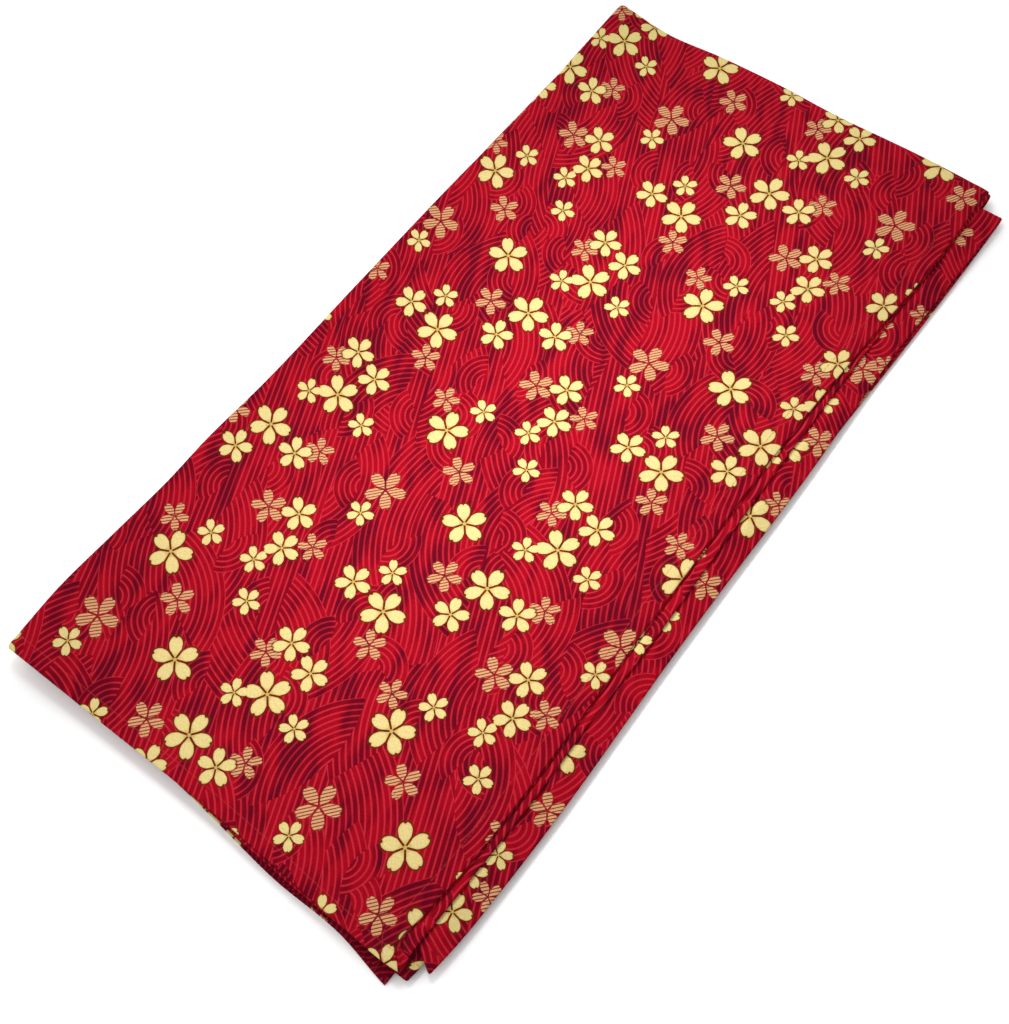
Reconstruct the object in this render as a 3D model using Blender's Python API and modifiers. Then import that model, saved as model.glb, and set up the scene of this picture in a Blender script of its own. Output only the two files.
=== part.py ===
"""Folded furoshiki: one square wrapping cloth, folded three times into eight layers.

The cloth is about one metre square, with a narrow machine hem on all four edges. It lies flat
with its long side along Y and its short side along X:

  first, the cloth is folded across its width into four layers, with two folds at the left side
  and one at the right, which shows beside the hems as a narrow strip;
  then all four layers are folded in half at the far short side, so the near short side shows
  every hem.

The cloth is one solid: a flat grid of points is carried to its folded place, and Solidify gives
it its thickness. Metres, +Z up, the underside on Z = 0, the middle of the box over the origin.
"""

import bpy
import bmesh
import numpy as np

# Thickness of the cloth, and the step from one layer's middle to the next one's
SHEET = 0.00105
PITCH = 0.00150
LAYERS_IN_HALF = 4

# Width of the folded panel, from the left line to the strip's fold
PANEL_WIDTH = 0.250

# Height of the plane round which the four layers are folded in half: the lowest layer's middle
# is then half a sheet above the surface
MIDDLE_HEIGHT = (LAYERS_IN_HALF - 0.5) * PITCH + SHEET / 2

# Stations of the grid: along each flat stretch of the width and of the length, as shares of it,
# and how many cells go round each side fold and round the far fold
FLAT_STATIONS = (0.0, 0.11, 0.26, 0.42, 0.58, 0.74, 0.88, 0.945, 0.96, 0.975, 0.988, 1.0)
SIDE_FOLD_CELLS = 5
LENGTH_STATIONS = (0.0, 0.015, 0.03, 0.06, 0.09, 0.14, 0.20, 0.28, 0.35, 0.45, 0.52, 0.60, 0.69, 0.78,
                   0.89, 1.0)
FAR_FOLD_CELLS = 8

# The four layers in the order in which the cloth runs across its width. The height counts
# pitches up from the middle plane, and the inset moves the inner left fold in from the left line.
LAYER_ORDER = ("top", "strip_back", "strip", "second")
LAYER_HEIGHT = {"top": 3.5, "strip_back": 0.5, "strip": 1.5, "second": 2.5}
LEFT_INSET = {"top": 0.0, "strip_back": 0.0, "strip": 0.0020, "second": 0.0020}

# Where each layer ends at the right: the hems of the top and second layers, and the fold between
# the two layers of the strip. The places run from 0 at the near edge on top, over the far fold
# at 1, to 2 at the near edge underneath.
RIGHT_PLACES = (0.0, 0.017, 0.05, 0.09, 0.20, 0.28, 0.35, 0.45, 0.60, 0.78, 0.87, 1.0, 1.5, 1.96, 2.0)
STRIP_FOLD = (0.2486, 0.2497, 0.2510, 0.2516, 0.2520, 0.2511, 0.2501, 0.2495, 0.2493, 0.2472,
              0.2480, 0.2494, 0.2465, 0.2448, 0.2424)
RIGHT_LINE = {
    "top": (0.2388, 0.2320, 0.2328, 0.2346, 0.2354, 0.2348, 0.2337, 0.2327, 0.2315, 0.2340,
            0.2364, 0.2363, 0.2350, 0.2374, 0.2362),
    "strip_back": STRIP_FOLD,
    "strip": STRIP_FOLD,
    "second": (0.2392, 0.2386, 0.2389, 0.2394, 0.2402, 0.2392, 0.2398, 0.2388, 0.2368, 0.2364,
               0.2370, 0.2382, 0.2360, 0.2368, 0.2362),
}

# The line of the left folds, slightly wavy, along the same way round
LEFT_PLACES = (0.0, 0.03, 0.07, 0.15, 0.22, 0.28, 0.36, 0.52, 0.68, 0.84, 0.93, 1.0, 2.0)
LEFT_LINE = (0.0030, 0.0016, -0.0001, 0.0004, 0.0017, 0.0012, 0.0027, 0.0023, 0.0023, 0.0034,
             0.0022, 0.0012, 0.0034)

# How far the near hem of each layer lies from the near line, on top and underneath, at these
# shares of the width
ACROSS = (0.0, 0.25, 0.50, 0.67, 0.83, 0.945, 1.0)
NEAR_HEM_ABOVE = {
    "top": (-0.0022, -0.0029, -0.0040, -0.0062, -0.0088, -0.0096, -0.0074),
    "strip_back": (0.0015, 0.0008, -0.0010, -0.0005, 0.0025, 0.0062, -0.0012),
    "strip": (0.0010, 0.0002, -0.0015, -0.0010, 0.0020, 0.0056, -0.0020),
    "second": (-0.0005, -0.0010, -0.0044, -0.0076, -0.0088, -0.0080, -0.0065),
}
NEAR_HEM_BELOW = {
    "top": (0.0035, 0.0015, -0.0042, -0.0092, -0.0106, -0.0160, -0.0175),
    "strip_back": (0.0020, 0.0010, -0.0022, -0.0048, -0.0074, -0.0090, -0.0088),
    "strip": (0.0022, 0.0012, -0.0024, -0.0052, -0.0078, -0.0094, -0.0092),
    "second": (0.0030, 0.0015, -0.0034, -0.0080, -0.0098, -0.0135, -0.0150),
}

# How far the far fold of the outer and of the inner layers lies from the near line
FAR_ACROSS = (0.0, 0.14, 0.26, 0.42, 0.57, 0.75, 0.94, 1.0)
FAR_FOLD_OUTER = (0.4978, 0.4948, 0.4983, 0.5009, 0.5012, 0.5041, 0.5058, 0.5062)
FAR_FOLD_INNER = (0.4970, 0.4938, 0.4950, 0.4955, 0.4957, 0.4960, 0.4965, 0.4998)

# Soft relief: the stack is a little fuller and flatter in turn, opens at the near hems, thins
# towards the right and lifts at the near left corner. The strip sinks at the right, where fewer
# layers carry it.
SWELL = 0.035
SWELL_LENGTH = 0.31
SWELL_WIDTH = 0.36
NEAR_OPENING = 0.06
NEAR_OPENING_REACH = 0.030
RIGHT_THINNING = 0.03
RIGHT_THINNING_FROM = 0.200
CORNER_LIFT = 0.0040
CORNER_REACH = 0.045
STRIP_DROP = 0.0018
STRIP_DROP_FROM = 0.2392
STRIP_DROP_TO = 0.2505

CLOTH_RED = (0.42, 0.012, 0.025, 1.0)
CLOTH_ROUGHNESS = 0.85


def through(place, knots, values):
    """A smooth line through a short table: cubic pieces whose slope at each entry is the slope
    between its two neighbours."""
    knots = np.asarray(knots, float)
    values = np.asarray(values, float)
    slopes = np.gradient(values, knots)
    place = np.clip(place, knots[0], knots[-1])
    k = np.clip(np.searchsorted(knots, place, side="right") - 1, 0, len(knots) - 2)
    width = knots[k + 1] - knots[k]
    u = (place - knots[k]) / width
    rise = values[k + 1] - values[k]
    ease = u * u * (3 - 2 * u)
    start = u * (1 - u) ** 2 * width * slopes[k]
    end = u * u * (1 - u) * width * slopes[k + 1]
    return values[k] + rise * ease + start - end


def ease_between(value, low, high):
    """0 below low, 1 above high, and a soft S between."""
    u = np.clip((value - low) / (high - low), 0, 1)
    return u * u * (3 - 2 * u)


def blend_rows(run, table, line):
    """The value of a table that has a row for each layer. run is 0 on the first layer, 1 on the
    second and so on, and lies between two layers on the fold that joins them."""
    rows = np.stack([line(table[name]) for name in LAYER_ORDER])
    k = np.clip(np.floor(run).astype(int), 0, len(LAYER_ORDER) - 2)
    part = run - k
    low = np.take_along_axis(rows, k[None], axis=0)[0]
    high = np.take_along_axis(rows, k[None] + 1, axis=0)[0]
    return low + (high - low) * part


def width_stations():
    """The cloth's way across the panel. Returns, for each station: which layer it is on, how far
    it is from the left line (0) to the right line (1), how far a fold bulges past that line, and
    its height above the middle plane. A fold is a half circle between two layers' heights."""
    run, reach, bulge, height = [], [], [], []
    flat = np.array(FLAT_STATIONS)
    turn = np.pi * np.arange(1, SIDE_FOLD_CELLS) / SIDE_FOLD_CELLS
    for k, name in enumerate(LAYER_ORDER):
        goes_left = k % 2 == 0
        run.append(np.full(len(flat), float(k)))
        reach.append(flat[::-1] if goes_left else flat)
        bulge.append(np.zeros(len(flat)))
        height.append(np.full(len(flat), LAYER_HEIGHT[name] * PITCH))
        if k + 1 < len(LAYER_ORDER):
            here = LAYER_HEIGHT[name] * PITCH
            there = LAYER_HEIGHT[LAYER_ORDER[k + 1]] * PITCH
            radius = abs(here - there) / 2
            side = -1.0 if goes_left else 1.0
            run.append(k + turn / np.pi)
            reach.append(np.full(len(turn), 0.0 if goes_left else 1.0))
            bulge.append(side * radius * np.sin(turn))
            height.append((here + there) / 2 + (here - there) / 2 * np.cos(turn))
    return tuple(np.concatenate(part) for part in (run, reach, bulge, height))


def length_stations():
    """The cloth's way along the panel. Returns, for each station: its place, which is 0 at the
    near edge on top, 1 at the far fold and 2 at the near edge underneath, and its turn round the
    far fold, from 0 on top to pi underneath."""
    flat = np.array(LENGTH_STATIONS)
    turn = np.pi * np.arange(1, FAR_FOLD_CELLS) / FAR_FOLD_CELLS
    place = np.concatenate([flat, np.ones(len(turn)), 2 - flat[::-1]])
    angle = np.concatenate([np.zeros(len(flat)), turn, np.full(len(flat), np.pi)])
    return place, angle


def settle(x, y, z):
    """The stack's soft relief. Heights are counted from the lowest layer's middle, so the layer on
    the surface stays flat. They are multiplied, or raised the more the higher they are, so every
    layer keeps its order. The strip's drop starts past the hems of the lowest layers."""
    full = 2 * MIDDLE_HEIGHT - SHEET
    above = z - SHEET / 2
    swell = np.sin(2 * np.pi * y / SWELL_LENGTH + 0.6) * np.cos(2 * np.pi * x / SWELL_WIDTH - 0.9)
    opening = np.exp(-np.maximum(y, 0) / NEAR_OPENING_REACH)
    thinning = ease_between(x, RIGHT_THINNING_FROM, PANEL_WIDTH)
    fullness = 1 + SWELL * swell + NEAR_OPENING * opening - RIGHT_THINNING * thinning
    corner = np.exp(-(np.maximum(x, 0) ** 2 + np.maximum(y, 0) ** 2) / CORNER_REACH ** 2)
    drop = STRIP_DROP * ease_between(x, STRIP_DROP_FROM, STRIP_DROP_TO)
    return SHEET / 2 + above * fullness + CORNER_LIFT * corner * (above / full) ** 2 - drop


def folded_points():
    """The middle surface of the folded cloth, on the grid of width by length stations."""
    run, reach, bulge, height = (part[:, None] for part in width_stations())
    place, angle = (part[None, :] for part in length_stations())
    run = run + 0 * place
    wide = np.broadcast_to(place, run.shape)

    left = through(wide, LEFT_PLACES, LEFT_LINE) + blend_rows(run, LEFT_INSET, lambda v: v + 0 * wide)
    right = blend_rows(run, RIGHT_LINE, lambda row: through(wide, RIGHT_PLACES, row))
    x = left + (right - left) * reach + bulge

    across = x / PANEL_WIDTH
    near_above = blend_rows(run, NEAR_HEM_ABOVE, lambda row: through(across, ACROSS, row))
    near_below = blend_rows(run, NEAR_HEM_BELOW, lambda row: through(across, ACROSS, row))
    outer = through(across, FAR_ACROSS, FAR_FOLD_OUTER)
    inner = through(across, FAR_ACROSS, FAR_FOLD_INNER)
    lowest = LAYER_HEIGHT["strip"] * PITCH
    highest = LAYER_HEIGHT["second"] * PITCH
    far = inner + (outer - inner) * ease_between(height, lowest, highest)

    near = np.where(wide <= 1, near_above, near_below)
    along = np.where(wide <= 1, wide, 2 - wide)
    y = near + (far - near) * along + height * np.sin(angle)
    z = MIDDLE_HEIGHT + height * np.cos(angle)
    return np.stack([x, y, settle(x, y, z)], axis=-1)


def centred(points):
    """Moves the points so that the middle of the cloth's box is over the origin. The near end is
    a cut edge, and the far end is a fold, which stands half a sheet further out."""
    low = points.min(axis=(0, 1))
    high = points.max(axis=(0, 1))
    middle = np.array([(low[0] + high[0]) / 2, (low[1] + high[1] + SHEET / 2) / 2, 0])
    return points - middle


def cloth_material():
    material = bpy.data.materials.new("crimson_cotton")
    material.use_nodes = True
    surface = material.node_tree.nodes["Principled BSDF"]
    surface.inputs["Base Color"].default_value = CLOTH_RED
    surface.inputs["Roughness"].default_value = CLOTH_ROUGHNESS
    surface.inputs["Metallic"].default_value = 0.0
    return material


def folded_cloth(collection):
    """The flat cloth as a grid, carried point by point to its folded place."""
    points = centred(folded_points())
    rows, columns = points.shape[:2]
    sheet = bmesh.new()
    bmesh.ops.create_grid(sheet, x_segments=rows - 1, y_segments=columns - 1, size=0.5)
    for corner in sheet.verts:
        i = round((corner.co.x + 0.5) * (rows - 1))
        j = round((corner.co.y + 0.5) * (columns - 1))
        corner.co = points[i, j]
    mesh = bpy.data.meshes.new("furoshiki_cloth")
    sheet.to_mesh(mesh)
    sheet.free()
    cloth = bpy.data.objects.new("furoshiki_cloth", mesh)
    collection.objects.link(cloth)
    cloth.data.materials.append(cloth_material())
    thickness = cloth.modifiers.new("thickness", "SOLIDIFY")
    thickness.thickness = SHEET
    thickness.offset = 0.0
    thickness.use_even_offset = True
    mesh.shade_smooth()
    mesh.set_sharp_from_angle(angle=np.radians(40))
    return cloth


for leftover in list(bpy.data.objects):
    bpy.data.objects.remove(leftover)
parts = bpy.data.collections.new("folded_furoshiki")
bpy.context.scene.collection.children.link(parts)
folded_cloth(parts)
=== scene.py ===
"""Folded furoshiki, dressed: its folds, hems, weave and print, on a pale floor.

Metres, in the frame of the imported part: +X across the panel to the hems, +Y along it to the far
fold, +Z up, the underside on Z = 0.
"""

import bpy
import numpy as np
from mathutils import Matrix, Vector


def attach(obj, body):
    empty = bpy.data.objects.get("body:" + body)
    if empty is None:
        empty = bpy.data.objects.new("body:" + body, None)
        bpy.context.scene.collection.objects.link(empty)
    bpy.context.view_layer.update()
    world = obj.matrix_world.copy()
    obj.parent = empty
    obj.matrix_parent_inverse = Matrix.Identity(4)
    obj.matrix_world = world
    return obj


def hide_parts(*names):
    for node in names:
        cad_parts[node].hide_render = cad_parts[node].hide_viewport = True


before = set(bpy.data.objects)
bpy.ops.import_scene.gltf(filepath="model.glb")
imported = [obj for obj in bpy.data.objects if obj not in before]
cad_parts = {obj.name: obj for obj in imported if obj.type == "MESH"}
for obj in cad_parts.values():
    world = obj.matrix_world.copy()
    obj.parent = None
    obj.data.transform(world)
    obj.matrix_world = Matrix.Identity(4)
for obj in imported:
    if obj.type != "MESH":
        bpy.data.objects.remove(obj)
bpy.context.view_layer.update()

# The folds. The cloth is one square of cotton: four layers across, with two folds at the left and
# one at the right, then folded in half at the far end. It is laid by hand, so no edge is straight.
# Heights and lines are those of the solid; the sheet itself is as thin as the real one.
PITCH = 0.00150
SHEET_OF_SOLID = 0.00105
LAYERS_IN_HALF = 4
PANEL_WIDTH = 0.250
MIDDLE_HEIGHT = (LAYERS_IN_HALF - 0.5) * PITCH + SHEET_OF_SOLID / 2

# The layers of the upper half in the order in which the cloth runs through them, their heights
# above the far fold's middle in pitches, and how far inside the left line each of them turns
LAYER_ORDER = ("top", "strip_back", "strip", "second")
LAYER_HEIGHT = {"top": 3.5, "strip_back": 0.5, "strip": 1.5, "second": 2.5}
LEFT_INSET = {"top": 0.0, "strip_back": 0.0, "strip": 0.0020, "second": 0.0020}

# The right end of each layer, its hem or fold, at places along the cloth: 0 is the near edge on
# top, 1 the far fold and 2 the near edge underneath. Then the left end of them all. The lines that
# show were measured on the photo: points on the hems, and points on the outline with a
# script, all brought onto the panel through the camera.
RIGHT_PLACES = (0.0, 0.017, 0.05, 0.09, 0.20, 0.28, 0.35, 0.45, 0.60, 0.78, 0.87, 1.0, 1.5, 1.96, 2.0)
STRIP_FOLD = (0.2486, 0.2497, 0.2510, 0.2516, 0.2520, 0.2511, 0.2501, 0.2495, 0.2493, 0.2472,
              0.2480, 0.2494, 0.2465, 0.2448, 0.2424)
RIGHT_LINE = {
    "top": (0.2388, 0.2320, 0.2328, 0.2346, 0.2354, 0.2348, 0.2337, 0.2327, 0.2315, 0.2340,
            0.2364, 0.2363, 0.2350, 0.2374, 0.2362),
    "strip_back": STRIP_FOLD,
    "strip": STRIP_FOLD,
    "second": (0.2392, 0.2386, 0.2389, 0.2394, 0.2402, 0.2392, 0.2398, 0.2388, 0.2368, 0.2364,
               0.2370, 0.2382, 0.2360, 0.2368, 0.2362),
}
LEFT_PLACES = (0.0, 0.03, 0.07, 0.15, 0.22, 0.28, 0.36, 0.52, 0.68, 0.84, 0.93, 1.0, 2.0)
LEFT_LINE = (0.0030, 0.0016, -0.0001, 0.0004, 0.0017, 0.0012, 0.0027, 0.0023, 0.0023, 0.0034,
             0.0022, 0.0012, 0.0034)

# The near hems of the upper and the lower half, at shares of the panel's width, and the far fold
# round the outer and the inner layers
ACROSS = (0.0, 0.25, 0.50, 0.67, 0.83, 0.945, 1.0)
NEAR_HEM_ABOVE = {
    "top": (-0.0022, -0.0029, -0.0040, -0.0062, -0.0088, -0.0096, -0.0074),
    "strip_back": (0.0015, 0.0008, -0.0010, -0.0005, 0.0025, 0.0062, -0.0012),
    "strip": (0.0010, 0.0002, -0.0015, -0.0010, 0.0020, 0.0056, -0.0020),
    "second": (-0.0005, -0.0010, -0.0044, -0.0076, -0.0088, -0.0080, -0.0065),
}
NEAR_HEM_BELOW = {
    "top": (0.0035, 0.0015, -0.0042, -0.0092, -0.0106, -0.0160, -0.0175),
    "strip_back": (0.0020, 0.0010, -0.0022, -0.0048, -0.0074, -0.0090, -0.0088),
    "strip": (0.0022, 0.0012, -0.0024, -0.0052, -0.0078, -0.0094, -0.0092),
    "second": (0.0030, 0.0015, -0.0034, -0.0080, -0.0098, -0.0135, -0.0150),
}
FAR_ACROSS = (0.0, 0.14, 0.26, 0.42, 0.57, 0.75, 0.94, 1.0)
FAR_FOLD_OUTER = (0.4978, 0.4948, 0.4983, 0.5009, 0.5012, 0.5041, 0.5058, 0.5062)
FAR_FOLD_INNER = (0.4970, 0.4938, 0.4950, 0.4955, 0.4957, 0.4960, 0.4965, 0.4998)

# Where the fine cells lie: distances from a hem's edge, those beside the second layer's hem, and
# shares of the way along the flats. FLAT_ACROSS and FLAT_ALONG are the flats' rough lengths.
FLAT_ACROSS = 0.234
FLAT_ALONG = 0.506
HEM_STEPS = (0.0, 0.0004, 0.0010, 0.0020, 0.0036, 0.0055, 0.0069, 0.0077, 0.0083, 0.0090, 0.0100,
             0.0118, 0.0142)
SECOND_STEPS = np.arange(0.0105, 0.0012, -0.0005)
TOP_CELLS = 78
SECOND_CELLS = 12
LENGTH_CELLS = 168
LENGTH_CELLS_BELOW = 40
SIDE_FOLD_CELLS = 8
FAR_FOLD_CELLS = 14
STRIP_SHARES = (0.0, 0.15, 0.35, 0.55, 0.75, 0.88, 0.91, 0.922, 0.930, 0.936, 0.941, 0.945, 0.949,
                0.953, 0.957, 0.961, 0.966, 0.972, 0.979, 0.985, 0.990, 0.996, 1.0)

# Where the middle of the solid's box lies before it is moved over the origin, and how far from
# the top layer's print the charts of the strip and the second layer are kept
MIDDLE = (0.12510, 0.24781)
CHART_OFFSET = {"strip": -1.0, "second": -2.0}


def through(place, knots, values):
    """A smooth line through a short table: cubic pieces whose slope at each entry is the slope
    between its two neighbours."""
    knots = np.asarray(knots, float)
    values = np.asarray(values, float)
    slopes = np.gradient(values, knots)
    place = np.clip(place, knots[0], knots[-1])
    k = np.clip(np.searchsorted(knots, place, side="right") - 1, 0, len(knots) - 2)
    width = knots[k + 1] - knots[k]
    u = (place - knots[k]) / width
    rise = values[k + 1] - values[k]
    start = u * (1 - u) ** 2 * width * slopes[k]
    end = u * u * (1 - u) * width * slopes[k + 1]
    return values[k] + rise * u * u * (3 - 2 * u) + start - end


def ease_between(value, low, high):
    """0 below low, 1 above high, and a soft S between."""
    u = np.clip((value - low) / (high - low), 0, 1)
    return u * u * (3 - 2 * u)


def blend_rows(run, table, line):
    """The value of a table that has a row for each layer. run is 0 on the first layer, 1 on the
    second and so on, and lies between two layers on the fold that joins them."""
    rows = np.stack([line(table[name]) for name in LAYER_ORDER])
    k = np.clip(np.floor(run).astype(int), 0, len(LAYER_ORDER) - 2)
    low = np.take_along_axis(rows, k[None], axis=0)[0]
    high = np.take_along_axis(rows, k[None] + 1, axis=0)[0]
    return low + (high - low) * (run - k)


def flat_shares(name):
    """Shares of the way from the left line to the right line at which a layer has its rows of
    points: close together beside a hem and where the strip shows, even on the top layer."""
    hem = 1 - np.array(HEM_STEPS) / FLAT_ACROSS
    if name == "top":
        return np.concatenate([np.linspace(0, hem[-1], TOP_CELLS, endpoint=False), hem[::-1]])
    if name == "second":
        beside = 1 - SECOND_STEPS / FLAT_ACROSS
        hidden = np.linspace(0, beside[0], SECOND_CELLS, endpoint=False)
        return np.concatenate([hidden, beside, hem[2::-1]])
    return np.array(STRIP_SHARES)


def width_stations():
    """The cloth's way across the panel: for each station which layer it is on, how far it is from
    the left line (0) to the right line (1), how far a fold bulges past that line, and its height
    above the middle plane. A fold is a half circle between two layers' heights."""
    run, reach, bulge, height = [], [], [], []
    turn = np.pi * np.arange(1, SIDE_FOLD_CELLS) / SIDE_FOLD_CELLS
    for k, name in enumerate(LAYER_ORDER):
        flat = flat_shares(name)
        goes_left = k % 2 == 0
        run.append(np.full(len(flat), float(k)))
        reach.append(flat[::-1] if goes_left else flat)
        bulge.append(np.zeros(len(flat)))
        height.append(np.full(len(flat), LAYER_HEIGHT[name] * PITCH))
        if k + 1 < len(LAYER_ORDER):
            here = LAYER_HEIGHT[name] * PITCH
            there = LAYER_HEIGHT[LAYER_ORDER[k + 1]] * PITCH
            side = -1.0 if goes_left else 1.0
            run.append(k + turn / np.pi)
            reach.append(np.full(len(turn), 0.0 if goes_left else 1.0))
            bulge.append(side * abs(here - there) / 2 * np.sin(turn))
            height.append((here + there) / 2 + (here - there) / 2 * np.cos(turn))
    return tuple(np.concatenate(part) for part in (run, reach, bulge, height))


def length_stations():
    """The cloth's way along the panel: for each station its place, which is 0 at the near edge on
    top, 1 at the far fold and 2 at the near edge underneath, and its turn round the far fold."""
    hem = np.array(HEM_STEPS) / FLAT_ALONG
    above = np.concatenate([hem, np.linspace(hem[-1], 1, LENGTH_CELLS + 1)[1:]])
    below = np.concatenate([hem, np.linspace(hem[-1], 1, LENGTH_CELLS_BELOW + 1)[1:]])
    turn = np.pi * np.arange(1, FAR_FOLD_CELLS) / FAR_FOLD_CELLS
    place = np.concatenate([above, np.ones(len(turn)), 2 - below[::-1]])
    angle = np.concatenate([np.zeros(len(above)), turn, np.full(len(below), np.pi)])
    return place, angle


def bell(value, middle, half_width):
    """1 at the middle, falling off softly on both sides."""
    return np.exp(-((value - middle) / half_width) ** 2)


# The pile's relief. Eight loose layers never lie quite flat: the pile swells and dips, opens at
# the near hems, lifts at the near left corner and sinks at the right, where the strip has few
# layers under it. The top layer sags in soft troughs beside its right hem, and the layers under a
# right hem sink where it ends.
TROUGHS = (
    # x, y, half length along the trough, half width, turned from +Y in degrees, depth
    (0.236, 0.150, 0.060, 0.010, 4, 0.0007),
    (0.224, 0.220, 0.050, 0.012, -12, 0.0010),
    (0.232, 0.330, 0.075, 0.010, 3, 0.0008),
    (0.236, 0.430, 0.060, 0.010, 0, 0.0007),
    (0.180, 0.300, 0.090, 0.016, 24, 0.0006),
    (0.120, 0.420, 0.090, 0.018, 60, 0.0005),
    (0.060, 0.180, 0.100, 0.020, -30, 0.0005),
)

# Just outside the right hems of the top and the second layer, the layers under them sink
HEM_SINKS = (
    # whose hem, what sinks is on a run between these two, depth, middle and half width of the bell
    ("top", 0.5, 4.0, 0.0016, 0.0009, 0.0010),
    ("second", 0.5, 2.5, 0.0012, 0.0008, 0.0009),
)
SINK_ENDS = (0.96, 1.0)

# How much the pile swells and over what lengths, how it opens at the near hems, thins towards the
# right, lifts at the near left corner and drops under the strip, and how a layer droops at its end
SWELL = 0.035
SWELL_ACROSS = 0.36
SWELL_ALONG = 0.31
SWELL_PHASES = (-0.9, 0.6)
OPENING = 0.06
OPENING_REACH = 0.030
THINNING = 0.03
THIN_FROM = 0.200
CORNER_LIFT = 0.0040
CORNER_REACH = 0.045
STRIP_DROP = 0.0018
STRIP_DROP_FROM = 0.2392
STRIP_DROP_TO = 0.2505
DROOP = 0.0011
DROOP_REACH = 0.012

# The middle of the panel, from which the print's drift is counted, and how far it goes on changing
DRIFT_MIDDLE = (0.12, 0.25)
DRIFT_X = (0, 0.240)
DRIFT_Y = (-0.005, 0.505)


def troughs(x, y):
    """The sum of soft dents, each a bell that is long one way and narrow the other."""
    depth = 0 * x
    for at_x, at_y, length, width, turned, deep in TROUGHS:
        turn = np.radians(turned)
        along = (x - at_x) * np.sin(turn) + (y - at_y) * np.cos(turn)
        aside = (x - at_x) * np.cos(turn) - (y - at_y) * np.sin(turn)
        depth = depth + deep * np.exp(-(along / length) ** 2 - (aside / width) ** 2)
    return depth


def sink_beside_hems(run, place, x):
    """How far the layers under the top and the second layer sink just outside those layers' right
    hems: a narrow bell along each hem, on the upper half only."""
    sunk = 0 * x
    for name, first, last, depth, middle, half_width in HEM_SINKS:
        outside = x - through(place, RIGHT_PLACES, RIGHT_LINE[name])
        under = (run > first) & (run < last)
        sunk = sunk + np.where(under, depth, 0) * bell(outside, middle, half_width)
    return sunk * (1 - ease_between(place, *SINK_ENDS))


def settle(x, y, z, from_right, sunk):
    """The pile's relief: the height over the lowest layer times a fullness near 1, which swells as
    a sine along times a cosine across, plus a lift at the corner, less a drop at the strip, the
    troughs, the droop and the sinks. Each of these grows with the height but the drop, which ends
    at the floor, so the layers keep their order."""
    full = 2 * MIDDLE_HEIGHT - SHEET_OF_SOLID
    above = z - SHEET_OF_SOLID / 2
    swell = (np.cos(2 * np.pi * x / SWELL_ACROSS + SWELL_PHASES[0])
             * np.sin(2 * np.pi * y / SWELL_ALONG + SWELL_PHASES[1]))
    opening = np.exp(-np.maximum(y, 0) / OPENING_REACH)
    thinning = ease_between(x, THIN_FROM, PANEL_WIDTH)
    fullness = 1 + SWELL * swell + OPENING * opening - THINNING * thinning
    corner = np.exp(-(np.maximum(x, 0) ** 2 + np.maximum(y, 0) ** 2) / CORNER_REACH ** 2)
    drop = STRIP_DROP * ease_between(x, STRIP_DROP_FROM, STRIP_DROP_TO)
    high = np.clip(above / full, 0, 1) ** 1.6
    droop = DROOP * np.exp(-np.maximum(from_right, 0) / DROOP_REACH)
    return (SHEET_OF_SOLID / 2 + above * fullness + CORNER_LIFT * corner * (above / full) ** 2
            - drop - high * (troughs(x, y) + droop) - sunk * above / full)


def drift(x, y):
    """How far the print has moved on the panel. The cotton was pulled a little out of square as it
    was folded, so the printed rows curve: a low cubic in the place on the panel, which is counted
    from the middle in half widths and half lengths, in millimetres."""
    x = (np.clip(x, *DRIFT_X) - DRIFT_MIDDLE[0]) / DRIFT_MIDDLE[0]
    y = (np.clip(y, *DRIFT_Y) - DRIFT_MIDDLE[1]) / DRIFT_MIDDLE[1]
    aside = (-0.7 * x * x - 2.3 * x * y - 4.8 * y * y
             + 0.6 * x ** 3 + 0.5 * x * x * y - 1.1 * x * y * y - 2.0 * y ** 3)
    along = (8.2 * x * x + 6.3 * x * y + 0.5 * y * y
             - 2.6 * x ** 3 + 6.1 * x * x * y + 1.3 * x * y * y + 5.7 * y ** 3)
    return aside / 1000, along / 1000


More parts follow.
